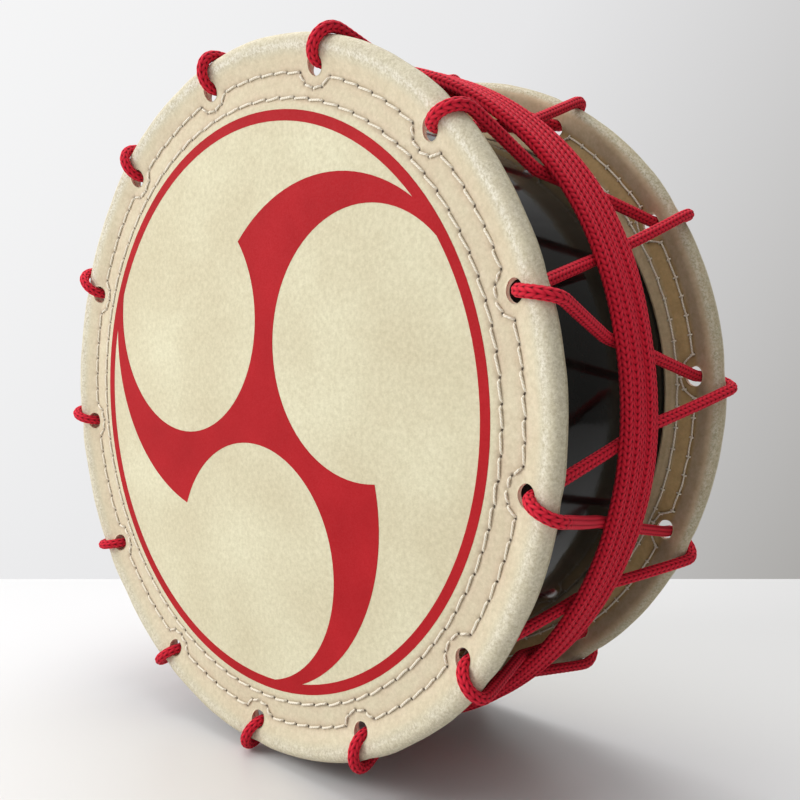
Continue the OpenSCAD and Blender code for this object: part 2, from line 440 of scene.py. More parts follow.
def wood_material():
    m, nt, bsdf = new_mat("bare_stave_wood")
    grain = noise(nt, stretched(nt, object_coords(nt), (90, 6, 90)), 8, 5, 0.65)
    dark, middle, light = (0.30, 0.19, 0.10), (0.46, 0.32, 0.18), (0.56, 0.42, 0.26)
    nt.links.new(ramp(nt, grain, [(0.3, dark), (0.5, middle), (0.7, light)]), bsdf.inputs["Base Color"])
    bsdf.inputs["Roughness"].default_value = 0.65
    nt.links.new(bump(nt, grain, 0.0003, 0.6), bsdf.inputs["Normal"])
    return m


# The braid: columns of slanted plaits around the rope, every second column mirrored
BRAID_COLS = 8
BRAID_PITCH = 3.7
BRAID_SLANT = 0.42
PLAIT_FALL_ACROSS = 1.75 ** 2 * 0.9
PLAIT_FALL_ALONG = 1.85 ** 2 * 0.8


def braid_height(u, v):
    """Height of the braid, 0 to 1, at u once around and v along."""
    c = u * BRAID_COLS
    col = np.floor(c)
    fu = c - col - 0.5
    sign = np.where(np.mod(col, 2) < 0.5, 1.0, -1.0)
    w = v / BRAID_PITCH + sign * fu * BRAID_SLANT * 2
    fv = w - np.floor(w) - 0.5
    return np.sqrt(np.clip(1 - PLAIT_FALL_ACROSS * fu ** 2 - PLAIT_FALL_ALONG * fv ** 2, 0, 1))


def braid_nodes(nt):
    """The same height as braid_height, as shader nodes."""
    u, v = tube_coords(nt)
    c = times(nt, u, BRAID_COLS)
    col = maths(nt, "FLOOR", c)
    fu = maths(nt, "SUBTRACT", maths(nt, "SUBTRACT", c, col), 0.5)
    odd = maths(nt, "MODULO", col, 2.0)
    sign = maths(nt, "SUBTRACT", 1.0, times(nt, odd, 2.0))
    slant = times(nt, times(nt, fu, sign), 2 * BRAID_SLANT)
    w = maths(nt, "ADD", times(nt, v, 1 / BRAID_PITCH), slant)
    fv = maths(nt, "SUBTRACT", maths(nt, "FRACT", w), 0.5)
    across = times(nt, times(nt, fu, fu), PLAIT_FALL_ACROSS)
    along_it = times(nt, times(nt, fv, fv), PLAIT_FALL_ALONG)
    return maths(nt, "SQRT", maths(nt, "SUBTRACT", 1.0, maths(nt, "ADD", across, along_it), clamp=True))


def rope_material():
    m, nt, bsdf = new_mat("red_braided_rope")
    co = object_coords(nt)
    h = braid_nodes(nt)
    fibre = noise(nt, co, 2400, 3, 0.7)
    tone = noise(nt, co, 45, 3, 0.6)
    # Colour follows the braid's height: painted shade in the gaps between plaits and a painted highlight on
    # their crowns
    gap_shade, flank = (0.040, 0.0008, 0.002), (0.21, 0.003, 0.010)
    plait, crown_highlight = (0.57, 0.011, 0.030), (0.80, 0.028, 0.056)
    col = ramp(nt, h, [(0.0, gap_shade), (0.30, flank), (0.62, plait), (1.0, crown_highlight)])
    col = mix(nt, remap(nt, fibre, 0.35, 0.65, 0.0, 0.3), col, (0.38, 0.008, 0.020))
    col = mix(nt, remap(nt, tone, 0.35, 0.7, 0.0, 0.15), col, (0.40, 0.009, 0.022))
    nt.links.new(col, bsdf.inputs["Base Color"])
    bsdf.inputs["Roughness"].default_value = 0.72
    bsdf.inputs["Sheen Weight"].default_value = 0.12
    bsdf.inputs["Sheen Roughness"].default_value = 0.45
    bsdf.inputs["Sheen Tint"].default_value = (1.0, 0.2, 0.28, 1)
    bsdf.inputs["Specular IOR Level"].default_value = 0.12
    n1 = bump(nt, h, 0.0006, 0.9)
    n2 = bump(nt, fibre, 0.00012, 0.7, n1)
    nt.links.new(n2, bsdf.inputs["Normal"])
    return m


def thread_material():
    """Waxed thread of two plies, each going once round it in 4 mm."""
    m, nt, bsdf = new_mat("waxed_cream_thread")
    u, v = tube_coords(nt)
    turns = maths(nt, "ADD", times(nt, u, 2.0), times(nt, v, 1 / 2.0))
    ply = maths(nt, "SINE", times(nt, turns, TAU))
    fibre = noise(nt, object_coords(nt), 2600, 3, 0.7)
    # the plies are painted lighter on their tops and darker in the twist between them, a painted shade
    col = mix(nt, remap(nt, ply, -1, 1), (0.78, 0.70, 0.55), (0.93, 0.88, 0.75))
    col = mix(nt, remap(nt, fibre, 0.4, 0.7, 0.0, 0.3), col, (0.62, 0.52, 0.38))
    nt.links.new(col, bsdf.inputs["Base Color"])
    bsdf.inputs["Roughness"].default_value = 0.6
    nt.links.new(bump(nt, ply, 0.00015, 0.7), bsdf.inputs["Normal"])
    return m


def steel_material():
    m, nt, bsdf = new_mat("plain_steel_rod")
    scale = noise(nt, object_coords(nt), 300, 4, 0.6)
    nt.links.new(mix(nt, scale, (0.30, 0.30, 0.31), (0.50, 0.50, 0.52)), bsdf.inputs["Base Color"])
    bsdf.inputs["Metallic"].default_value = 1.0
    nt.links.new(remap(nt, scale, 0.3, 0.7, 0.35, 0.55), bsdf.inputs["Roughness"])
    return m


# ---------------------------------------------------------------- tubes

def lengths(path):
    """Distance along the path of each of its points."""
    return np.concatenate([[0], np.cumsum(np.linalg.norm(np.diff(path, axis=0), axis=1))])


def resample(path, step):
    """The path with points an even step apart."""
    s = lengths(path)
    n = max(2, int(round(s[-1] / step)) + 1)
    t = np.linspace(0, s[-1], n)
    return np.stack([np.interp(t, s, path[:, k]) for k in range(3)], -1)


def smoothed(path, rounds):
    p = path.copy()
    for _ in range(rounds):
        p[1:-1] = 0.25 * p[:-2] + 0.5 * p[1:-1] + 0.25 * p[2:]
    return p


def frames(path):
    """Tangents and two normals that don't twist along the path."""
    t = np.gradient(path, axis=0)
    t /= np.linalg.norm(t, axis=1)[:, None]
    ref = np.array([0.0, 1.0, 0.0]) if abs(t[0, 1]) < 0.8 else np.array([1.0, 0.0, 0.0])
    n = ref - t[0] * (ref @ t[0])
    n /= np.linalg.norm(n)
    out = [n]
    for i in range(1, len(path)):
        n = out[-1] - t[i] * (out[-1] @ t[i])
        out.append(n / np.linalg.norm(n))
    n = np.array(out)
    return t, n, np.cross(t, n)


PATH_STEP = 0.9
ROPE_SIDES = 24
THREAD_SIDES = 8
# Height of the braid at which a rope has its nominal radius, and how far a tube's end stands out, in radii
BRAID_LEVEL = 0.75
END_DOME = 0.25


class Tubes:
    """Gathers tubes into one mesh, with UVs: once around, and millimetres along."""

    def __init__(self):
        self.verts = []
        self.quads = []
        self.tris = []
        self.quad_uv = []
        self.tri_uv = []
        self.count = 0

    def add(self, path, radius, sides, height=None, relief=0.0, v0=0.0, square=None):
        """height(u, v) raises a relief on the tube, and square is the power of its squared-off section."""
        tangents, n, b = frames(path)
        s = lengths(path) + v0
        rings = len(path)
        u = np.arange(sides) / sides
        ca, sa = np.cos(u * TAU), np.sin(u * TAU)
        r = np.full((rings, sides), float(radius))
        if height is not None:
            r = r + relief * (height(u[None, :] + 1e-6, s[:, None]) - BRAID_LEVEL)
        if square is not None:
            r = r * (np.abs(ca) ** square + np.abs(sa) ** square) ** (-1 / square)
        off = ca[None, :, None] * n[:, None, :] + sa[None, :, None] * b[:, None, :]
        base = self.count
        self.verts.append((path[:, None, :] + off * r[..., None]).reshape(-1, 3))
        self.count += rings * sides

        i, j = np.meshgrid(np.arange(rings - 1), np.arange(sides), indexing="ij")
        j2 = (j + 1) % sides
        quad = np.stack([i * sides + j, i * sides + j2, (i + 1) * sides + j2, (i + 1) * sides + j], -1)
        self.quads.append(quad.reshape(-1, 4) + base)
        ua, ub, sv, sw = j / sides, (j + 1) / sides, s[i], s[i + 1]
        self.quad_uv.append(np.stack([ua, sv, ub, sv, ub, sw, ua, sw], -1).reshape(-1, 2))

        first = path[0] - tangents[0] * radius * END_DOME
        last = path[-1] + tangents[-1] * radius * END_DOME
        k = np.arange(sides)
        for ring, tip in ((0, first), (rings - 1, last)):
            edge = base + ring * sides
            here, there = edge + k, edge + (k + 1) % sides
            if ring == 0:
                here, there = there, here
            self.tris.append(np.stack([here, there, np.full(sides, self.count)], -1))
            self.tri_uv.append(np.tile([[0.5 / sides, s[ring]]], (sides * 3, 1)))
            self.verts.append(tip[None, :])
            self.count += 1

    def build(self, name, material):
        faces = [np.concatenate(self.quads), np.concatenate(self.tris)]
        uv = np.concatenate(self.quad_uv + self.tri_uv)
        ob = make_mesh(name, np.concatenate(self.verts) * MM, faces, uv)
        clothe(ob, material)
        return ob


# ---------------------------------------------------------------- hides

def row_nodes(front):
    """The outer row's needle holes over one bay, as (radius, angle from the lacing hole)."""
    _, r, dip = ROWS[front]
    dip_a, shoulder_a, shoulder = 3.7, 2.2, 0.75 * dip
    out = [(r - dip, 0.0), (r - shoulder, shoulder_a)]
    for k in range(BAY_STITCHES + 1):
        out.append((r, dip_a + k * (STEP - 2 * dip_a) / BAY_STITCHES))
    out.append((r - shoulder, STEP - shoulder_a))
    return out


def profile(front):
    """The outline of a head from the middle of its playing face, round the rim and back to the middle of
    its underside, as (radius, height). The two layers part to go round the hoop."""
    part = ROWS[front][1] + 1.5
    lean = math.degrees(math.asin((ROLL_R - HIDE_T) / (ROLL_AT - part)))
    outline = [(0, 0), (SHELL_R - 3, 0), (SHELL_R - 1, -0.06), (FLAP_R + 0.6, -DROP), (part - 1.2, -DROP)]
    for a in np.radians(np.linspace(90 + lean, -90 - lean, 33)):
        outline.append((ROLL_AT + ROLL_R * math.cos(a), SEAM_Z + ROLL_R * math.sin(a)))
    outline += [(part - 1.2, UNDERSIDE_Z), (FLAP_R + 0.5, UNDERSIDE_Z), (FLAP_R, UNDERSIDE_Z + 0.45)]
    outline += [(FLAP_R, -HIDE_T), (0, -HIDE_T)]
    return np.array(outline, float)


def rings_along(front):
    """The grid's rings along the outline: their distances, a function from distance to (radius, height),
    and the ring number and distance of the lacing holes' middles on the face and on the underside."""
    pts = profile(front)
    s = lengths(pts)

    def at(x):
        return np.stack([np.interp(x, s, pts[:, 0]), np.interp(x, s, pts[:, 1])], -1)

    fine = np.linspace(0, s[-1], 20001)
    tip = fine[np.argmax(at(fine)[:, 0])]
    top = fine[fine < tip]
    low = fine[fine > tip]
    top_r = at(top)[:, 0]
    low_r = at(low)[:, 0]
    s_top = np.interp(HOLE_AT, top_r, top)
    s_low = np.interp(-HOLE_AT, -low_r, low)
    s_flap = np.interp(-(FLAP_R + 0.6), -low_r, low)
    start = s_top - CELL * math.floor((s_top - np.interp(SHELL_R - 4, top_r, top)) / CELL)
    face = np.linspace(0, start, 11)[1:-1]
    up = np.arange(start, s_top + (HOLE_CELLS + 0.5) * CELL, CELL)
    down = np.arange(s_low - HOLE_CELLS * CELL, s_flap, CELL)
    rim = np.linspace(up[-1], down[0], 26)[1:-1]
    edge = np.linspace(s_flap, s_flap + 3.2, 5)
    under = np.linspace(edge[-1], s[-1], 10)[1:-1]
    rings = np.concatenate([face, up, rim, down, edge, under])
    j_top = len(face) + int(round((s_top - start) / CELL))
    j_low = len(face) + len(up) + len(rim) + HOLE_CELLS
    return rings, at, ((j_top, s_top), (j_low, s_low))


def opened(A, S, i0, j0, s0):
    """Moves the grid round one lacing hole so that a square of cells becomes a circle. A has the angles of
    the grid points and S their distances along the outline; the hole's middle is i0, j0, at distance s0."""
    reach = np.arange(-CALM_CELLS, CALM_CELLS + 1)
    ii = (reach + i0) % A.shape[0]
    on_grid = (reach + j0 >= 0) & (reach + j0 < A.shape[1])
    jj = (reach + j0)[on_grid]
    U, V = np.meshgrid(reach, reach[on_grid], indexing="ij")
    m = np.maximum(abs(U), abs(V)).astype(float)
    turn_u = U / np.maximum(m, 1) * math.pi / 4
    turn_v = V / np.maximum(m, 1) * math.pi / 4
    sideways = np.where(U >= 0, turn_v, math.pi - turn_v)
    upright = np.where(V >= 0, math.pi / 2 - turn_u, -math.pi / 2 + turn_u)
    phi = np.where(abs(U) >= abs(V), sideways, upright)
    rad = HOLE_R + (m - HOLE_CELLS) * CELL
    t = ease(np.clip((m - HOLE_CELLS) / (CALM_CELLS - HOLE_CELLS), 0, 1))
    x = rad * np.cos(phi) * (1 - t) + U * CELL * t
    y = rad * np.sin(phi) * (1 - t) + V * CELL * t
    here = np.ix_(ii, jj)
    A[here] = A[here] - U * CELL_A + x / (TAU * HOLE_AT / 360)
    S[here] = s0 + y


def stitch_distances(front, R, A):
    """Distances in the flat of a head, to the outer row's line and needle holes, then to the inner row's."""
    nodes = row_nodes(front)
    nodes.append((nodes[0][0], STEP))
    pts = np.array([[r * math.sin(math.radians(t)), r * math.cos(math.radians(t))] for r, t in nodes])
    bay = np.radians((A - first_hole(front)) % STEP)
    X, Y = R * np.sin(bay), R * np.cos(bay)
    line = np.full(X.shape, 99.0)
    dot = np.full(X.shape, 99.0)
    for p, q in zip(pts[:-1], pts[1:]):
        w = q - p
        t = np.clip(((X - p[0]) * w[0] + (Y - p[1]) * w[1]) / (w @ w), 0, 1)
        line = np.minimum(line, np.hypot(X - p[0] - t * w[0], Y - p[1] - t * w[1]))
        dot = np.minimum(dot, np.hypot(X - p[0], Y - p[1]))
    inner_r = ROWS[front][0]
    inner_step = 360 / INNER_STITCHES
    from_hole = ((A / inner_step + 0.5) % 1 - 0.5) * inner_step
    inner_line = abs(R - inner_r)
    inner_dot = np.hypot(inner_line, np.radians(from_hole) * inner_r)
    return line, dot, inner_line, inner_dot


# How a hide departs from its plain outline: (depth or height, width)
GROOVE = (0.30, 1.9)
DIMPLE = (0.45, 1.5)
ROPE_PRESS = (0.55, 1.6)
# Radii over which the rim's unevenness and its puffing between the holes set in: (start, width)
RIM_FROM = (214.5, 5.0)
PUFF_FROM = (207.0, 4.0)
# Size of each wobble, and its waves in a turn with their weights
UNEVEN = (0.36, ((2, 1), (3, 0.8), (5, 0.6), (9, 0.5), (17, 0.35), (29, 0.25)))
PUFF = (0.18, ((13, 1), (26, 0.6), (39, 0.4), (61, 0.3)))
WARP = (0.35, ((2, 1), (4, 0.6), (7, 0.4)))


def hide_relief(front, R, A, distances):
    """How far the hide stands out of its outline, and how far its rim waves out of the face."""
    line, dot, inner_line, inner_dot = distances
    head = 0 if front else 1
    past_flap = R > FLAP_R
    grooves = GROOVE[0] * (bell(line, GROOVE[1]) + bell(inner_line, GROOVE[1])) * past_flap
    dimples = DIMPLE[0] * bell(np.minimum(dot, inner_dot), DIMPLE[1]) * past_flap
    rim = rise(R, *RIM_FROM)
    from_hole = (A - first_hole(front) + STEP / 2) % STEP - STEP / 2
    press = ROPE_PRESS[0] * bell(from_hole, ROPE_PRESS[1]) * rim
    uneven = UNEVEN[0] * wave(A, 11 + head, UNEVEN[1])
    puff = PUFF[0] * wave(A, 21 + head, PUFF[1]) * rise(R, *PUFF_FROM)
    warp = WARP[0] * wave(A, 31 + head, WARP[1]) * rim
    return rim * (uneven - press) + puff - grooves - dimples, warp


# Worn lines on a hide's underside: (radius, width, seed of its wobble)
STREAKS = ((191.6, 0.8, 5), (194.0, 0.6, 6), (196.0, 0.7, 8))
STREAK_WOBBLE = ((1, 1), (3, 0.7), (7, 0.5), (15, 0.3))


def hide_masks(front, R, Z, A, back, distances, needle_hole_and_thread_shade):
    """The masks that the hide's material reads, one value for each grid point. Each fades in or out from a
    radius and over a width."""
    line, _, inner_line, _ = distances
    inner_r, outer_r, _ = ROWS[front]
    outside = 1 - back
    seam = rise(R, 184.0, 5.0) * fall(R, 213.5, 4.0) * outside
    seam = seam * (0.55 + 0.45 * bell(np.minimum(line, inner_line), 4.0))
    # the crest is a scraped pale band, and over the top it is painted paler still: a painted highlight where
    # light falls from above
    crest_wear_and_highlight = bell(R - 219.0, 2.2) * outside + 0.5 * bell(R - 224.5, 1.5) * back
    crest_wear_and_highlight = crest_wear_and_highlight * (0.3 + 0.7 * rise(np.sin(np.radians(A)), -0.6, 1.2))
    streaks = 0
    for r, width, seed in STREAKS:
        streaks = streaks + bell(R - r - 0.7 * wave(A, seed, STREAK_WOBBLE), width)
    at_edge = (R < FLAP_R + 0.35) & (R > FLAP_R - 0.4) & (Z < -HIDE_T + 0.2) & (Z > UNDERSIDE_Z - 0.2)
    return {
        "seam": seam,
        # painted shade in the needle holes and painted shadow along the stitches
        "needle_hole_and_thread_shade": needle_hole_and_thread_shade,
        "rim": rise(R, 212.5, 5.5) * outside + rise(R, 221.5, 2.5) * back,
        "back": back,
        "band": rise(R, inner_r, 2.5) * fall(R, 215.5, 4.0) * back,
        "crest_wear_and_highlight": crest_wear_and_highlight,
        "outer": rise(R, outer_r + 0.5, 3.0) * back,
        "streaks": streaks * back,
        "cut": at_edge * back,
    }


# Rings of a lacing hole's wall between its two rims: (part of the way through, how far it stands back, in
# radii). The hide's two layers leave a groove between them.
HOLE_WALL = (
    (0.06, -0.01),
    (0.26, 0.0),
    (0.34, 0.10),
    (0.5, 0.16),
    (0.66, 0.10),
    (0.74, 0.0),
    (0.94, -0.01),
)


def square_of_cells(h):
    """The grid steps (around, along) once round a square of h cells each way."""
    steps = [(k, -h) for k in range(-h, h)]
    steps += [(h, k) for k in range(-h, h)]
    steps += [(k, h) for k in range(h, -h, -1)]
    steps += [(-h, k) for k in range(h, -h, -1)]
    return np.array(steps)


def hole_walls(P, n, cols, j_top, j_low, count):
    """Vertices and quads that line the lacing holes through the hide. P is the grid, and count the number
    of vertices before these."""
    verts = []
    quads = []
    ring = square_of_cells(HOLE_CELLS)
    for k in range(HOLES):
        around_i = (k * PER + ring[:, 0]) % n
        top = around_i * cols + j_top + ring[:, 1]
        low = around_i * cols + j_low - ring[:, 1]
        rows = [top]
        for part, back in HOLE_WALL:
            middle = P[top].mean(0) * (1 - part) + P[low].mean(0) * part
            p = P[top] * (1 - part) + P[low] * part
            verts.append(p + (p - middle) * back)
            rows.append(np.arange(len(p)) + count)
            count += len(p)
        rows.append(low)
        for a, b in zip(rows[:-1], rows[1:]):
            quads.append(np.stack([a, np.roll(a, -1), np.roll(b, -1), b], -1))
    return verts, quads


def hide(front, material):
    """One head's hide as a closed skin: a grid round its outline with the lacing holes opened in it, a
    middle point on each side, and the walls of the holes."""
    rings, at, holes = rings_along(front)
    n, cols = PER * HOLES, len(rings)
    A = np.repeat((first_hole(front) + np.arange(n) * CELL_A)[:, None], cols, 1)
    S = np.repeat(rings[None, :], n, 0)
    for k in range(HOLES):
        for j0, s0 in holes:
            opened(A, S, k * PER, j0, s0)
    R, Z = np.moveaxis(at(S), -1, 0)
    back = (S > rings[np.argmax(at(rings)[:, 0])]).astype(float)

    # unit steps (radius, height) along the outline
    way = at(np.minimum(S + 0.05, rings[-1] + 1)) - at(np.maximum(S - 0.05, 0))
    way /= np.maximum(np.linalg.norm(way, axis=-1, keepdims=True), 1e-9)
    distances = stitch_distances(front, R, A)
    near_line = np.minimum(distances[0], distances[2])
    near_dot = np.minimum(distances[1], distances[3])
    # painted shade: dark in the needle holes, and fainter along the stitch lines as the thread's painted
    # shadow
    needle_hole_and_thread_shade = (bell(near_dot, 0.85) + 0.2 * bell(near_line, 1.4)) * (R > FLAP_R)
    relief, warp = hide_relief(front, R, A, distances)
    R = R - way[..., 1] * relief
    Z = Z + way[..., 0] * relief + warp
    masks = hide_masks(front, R, Z, A, back, distances, needle_hole_and_thread_shade)
    P = place(front, R, A, Z).reshape(-1, 3)

    i, j = np.meshgrid(np.arange(n), np.arange(cols - 1), indexing="ij")
    i2 = (i + 1) % n

    def in_hole(j0):
        u = (i + PER // 2) % PER - PER // 2
        v = j - j0
        wide = np.maximum(abs(u), abs(u + 1)) <= HOLE_CELLS
        tall = np.maximum(abs(v), abs(v + 1)) <= HOLE_CELLS
        return wide & tall

    (j_top, _), (j_low, _) = holes
    solid = ~(in_hole(j_top) | in_hole(j_low))
    quads = [np.stack([i * cols + j, i * cols + j + 1, i2 * cols + j + 1, i2 * cols + j], -1)[solid]]
    face_middle, under_middle, walls_from = np.arange(3) + n * cols
    face_edge = np.arange(n) * cols
    under_edge = face_edge + cols - 1
    face_fan = np.stack([face_edge, np.roll(face_edge, -1), np.full(n, face_middle)], -1)
    under_fan = np.stack([under_edge, np.roll(under_edge, -1), np.full(n, under_middle)], -1)
    tris = np.concatenate([face_fan, under_fan[:, ::-1]])
    zero = np.array([0.0])
    middles = [place(front, zero, zero, np.array([z])) for z in (0.0, -HIDE_T)]
    wall_verts, wall_quads = hole_walls(P, n, cols, j_top, j_low, walls_from)
    verts = np.concatenate([P] + middles + wall_verts)
    quads = np.concatenate(quads + wall_quads)

    # the middle points have no mask, and the walls of the holes are all cut edge
    wall_count = len(verts) - walls_from
    attrs = {}
    for key, values in masks.items():
        on_wall = 1.0 if key == "cut" else 0.0
        attrs[key] = np.concatenate([values.reshape(-1), [0.0, 0.0], np.full(wall_count, on_wall)])
    if not front:
        quads, tris = quads[:, ::-1], tris[:, ::-1]
    used = np.zeros(len(verts), bool)
    used[quads.reshape(-1)] = True
    used[tris.reshape(-1)] = True
    index = np.cumsum(used) - 1
    attrs = {key: values[used] for key, values in attrs.items()}
    name = "front_hide_skin" if front else "rear_hide_skin"
    ob = make_mesh(name, verts[used], [index[quads], index[tris]], attrs=attrs)
    clothe(ob, material)
    return ob


# ---------------------------------------------------------------- stitches

# Thread on the playing side and on the inner side: its radius, how far from its needle holes it ends, and
# how deep it dives at its ends
THREAD = ((0.74, 1.05, 1.5), (0.62, 0.2, 0.5))
# How far stitches slant across the row on the playing side: mean and spread
SLANT = (0.62, 0.16)
# Radius of the small loops of thread inside
CROSS_R = 0.62


def on_head(front, xy, z):
    """Points in the flat of a head, at a height out of its playing face, to the shared frame."""
    side = -1.0 if front else 1.0
    return np.stack([xy[:, 0], side * (FACE + z), AXIS_Z + xy[:, 1]], -1)


def stitch_path(front, outer_side, start, end, bow):
    """One stitch's thread between two needle holes, given in the flat of the head."""
    radius, clear, dive = THREAD[0 if outer_side else 1]
    length = np.linalg.norm(end - start)
    inset = clear / length
    tip = np.array([0.0, 0.02, 0.06])
    u = np.concatenate([inset + tip, np.linspace(inset + 0.12, 1 - inset - 0.12, 9), 1 - inset - tip[::-1]])
    xy = start[None] * (1 - u)[:, None] + end[None] * u[:, None]
    across = np.array([-(end - start)[1], (end - start)[0]]) / length
    xy = xy + across[None] * (bow * np.sin(u * math.pi))[:, None]
    # on the playing side the thread is pulled into the hide, and stands proud only where it comes out
    proud = 0.55 + 0.55 * bell((1 - u - inset) * length - 1.4, 1.3) if outer_side else 1.0
    from_end = (np.minimum(u, 1 - u) - inset) * length
    lift = radius * proud - 0.3 * np.abs(2 * u - 1) ** 3 - dive * bell(from_end, 0.55)
    z = -DROP + lift if outer_side else UNDERSIDE_Z - lift
    return smoothed(resample(on_head(front, xy, z), PATH_STEP), 1)


def stitches(front, name, material, needle_holes, row):
    """Both sides of a row of stitches through needle_holes, which has (radius, angle) in order. row is 0 for
    the inner row and 1 for the outer."""
    tubes = Tubes()
    g = np.random.default_rng(41 + (1 if front else 0) + 3 * row)
    for k, (r0, a0) in enumerate(needle_holes):
        r1, a1 = needle_holes[(k + 1) % len(needle_holes)]
        t0, t1 = math.radians(a0), math.radians(a1)
        out0 = np.array([math.cos(t0), math.sin(t0)])
        out1 = np.array([math.cos(t1), math.sin(t1)])
        for outer_side in (True, False):
            slant = g.normal(*SLANT) if outer_side else g.normal(0, 0.1)
            bow = 0.22 * g.normal()
            path = stitch_path(front, outer_side, (r0 + slant) * out0, (r1 - slant) * out1, bow)
            radius = THREAD[0 if outer_side else 1][0]
            tubes.add(path, radius * g.uniform(0.92, 1.04), THREAD_SIDES, v0=g.uniform(0, 5))
        # inside, the outer thread shows as a small loop across the row at each needle hole
        u = np.linspace(-1, 1, 7)
        xy = (r0 + u * g.uniform(1.1, 1.6))[:, None] * out0[None]
        z = UNDERSIDE_Z - 0.75 + 0.7 * u * u
        tubes.add(on_head(front, xy, z), CROSS_R, THREAD_SIDES)
    return tubes.build(name, material)


# ---------------------------------------------------------------- rope

def sag(a):
    """The waist rope is drawn tightest over the top, and presses the laces down there."""
    return -3.0 * bell(off_angle(a, 87), 31.0)


def drift(a):
    """How far the waist rope strays behind the drum's middle: on the right it slides towards the front, most
    near the top."""
    return -3.0 * bell(off_angle(a, 14), 22.0) - 7.5 * bell(off_angle(a, 62), 20.0)


# A lace goes into its hole this far before the rim's middle, and its bend round the rim covers these angles
LACE_ENTRY = 4.0
BEND_FROM = 176
BEND_TO = -12
LACE_POINTS = 40


def lace_path(front, k):
    """One lace from under the waist rope, through hole k of a head from the inside, round its rim and back
    under the waist rope. Angles fall all along it."""
    g = np.random.default_rng(100 + k + (50 if front else 0))
    side = -1.0 if front else 1.0
    a_hole = hole_angle(front, k)
    lean = LACE_LEAN + g.normal(0, 0.25)
    a_in = a_hole + (STEP / 2 - LACE_LEAN) / 2
    a_rim = a_hole - lean
    a_out = a_hole - (STEP / 2 + lean) / 2
    y_hole = FACE + SEAM_Z
    half = WAIST_TURNS * ROPE_D / 2 + side * drift(a_hole)
    pts = []

    def add(r, a, y):
        pts.append(around(np.array(float(r)), np.array(float(a)), np.array(float(side * y))))

    # inside leg, held down by the waist rope as far as its edge
    y_in = y_hole - LACE_ENTRY
    r_in = ROLL_AT - LOOP_R + 0.2
    for t in np.linspace(0, 1, LACE_POINTS):
        y = y_in * t
        u = np.clip((y - half) / (y_in - half), 0, 1)
        a = a_in + (a_hole - a_in) * t
        add(UNDER_R + sag(a) * (1 - u) + (r_in - UNDER_R) * u, a, y)
    # round the rim
    for psi in np.linspace(BEND_FROM, BEND_TO, 26):
        f = (180 - psi) / 190
        r = ROLL_AT + LOOP_R * math.cos(math.radians(psi))
        add(r, a_hole - lean * (0.15 * f + 0.85 * ease(f)), y_hole + LOOP_R * math.sin(math.radians(psi)))
    # outside leg
    y_rim = y_hole + LOOP_R * math.sin(math.radians(BEND_TO))
    r_rim = ROLL_AT + LOOP_R * math.cos(math.radians(BEND_TO))
    for t in np.linspace(0, 1, LACE_POINTS)[1:]:
        y = y_rim * (1 - t)
        u = np.clip((y_rim - y) / (y_rim - half), 0, 1)
        add(r_rim + (UNDER_R + sag(a_rim) - r_rim) * u, a_rim + (a_out - a_rim) * t, y)
    return smoothed(resample(np.array(pts), PATH_STEP), 26)


def laces(front, material):
    tubes = Tubes()
    for k in range(HOLES):
        path = lace_path(front, k)
        start = rng.uniform(0, 8)
        tubes.add(path, ROPE_D / 2 - 0.05, ROPE_SIDES, height=braid_height, relief=0.55, v0=start)
    return tubes.build("front_lacing_rope" if front else "rear_lacing_rope", material)


# Where the turns of the waist rope are drawn together and ride up on each other: (angle, spread), with the
# share of their width they lose and the height by which every second one rises
PINCH_LOW = (300, 17.0)
PINCH_HIGH = (10, 15.0)
PINCH_SHARE = 0.17
PINCH_RISE = 1.6
WAIST_POINTS = 720
# Last part of a turn, in which the rope steps over into the next lane
STEP_OVER = 0.06


def waist(material):
    """One rope wound round the waist from the hitch back to the hitch, stepping over by a rope's width just
    before the hitch."""
    pts = []
    for turn in range(WAIST_TURNS):
        last = turn == WAIST_TURNS - 1
        f = np.arange(WAIST_POINTS + (1 if last else 0)) / WAIST_POINTS
        a = HITCH_A + 360 * (turn + f)
        stepping = 0.0 if last else ease(rise(f, 1 - STEP_OVER, STEP_OVER))
        lane = turn + stepping - (WAIST_TURNS - 1) / 2
        high = bell(off_angle(a, PINCH_HIGH[0]), PINCH_HIGH[1])
        pinch = bell(off_angle(a, PINCH_LOW[0]), PINCH_LOW[1]) + 0.85 * high
        spacing = ROPE_D * (1 - PINCH_SHARE * pinch) * (1 - 0.012 * drift(a))
        y = lane * spacing - 1.6 * high + drift(a) + 0.35 * wave(a, 60 + turn)
        ride_up = PINCH_RISE * pinch * (1 if turn % 2 else -0.1)
        pts.append(around(WAIST_R + sag(a) + 0.25 * wave(a, 80 + turn) + ride_up, a, y))
    path = smoothed(resample(np.concatenate(pts), PATH_STEP), 4)
    tubes = Tubes()
    tubes.add(path, ROPE_D / 2 + 0.03, ROPE_SIDES, height=braid_height, relief=0.5, square=3.2)
    return tubes.build("waist_rope_wrap", material)


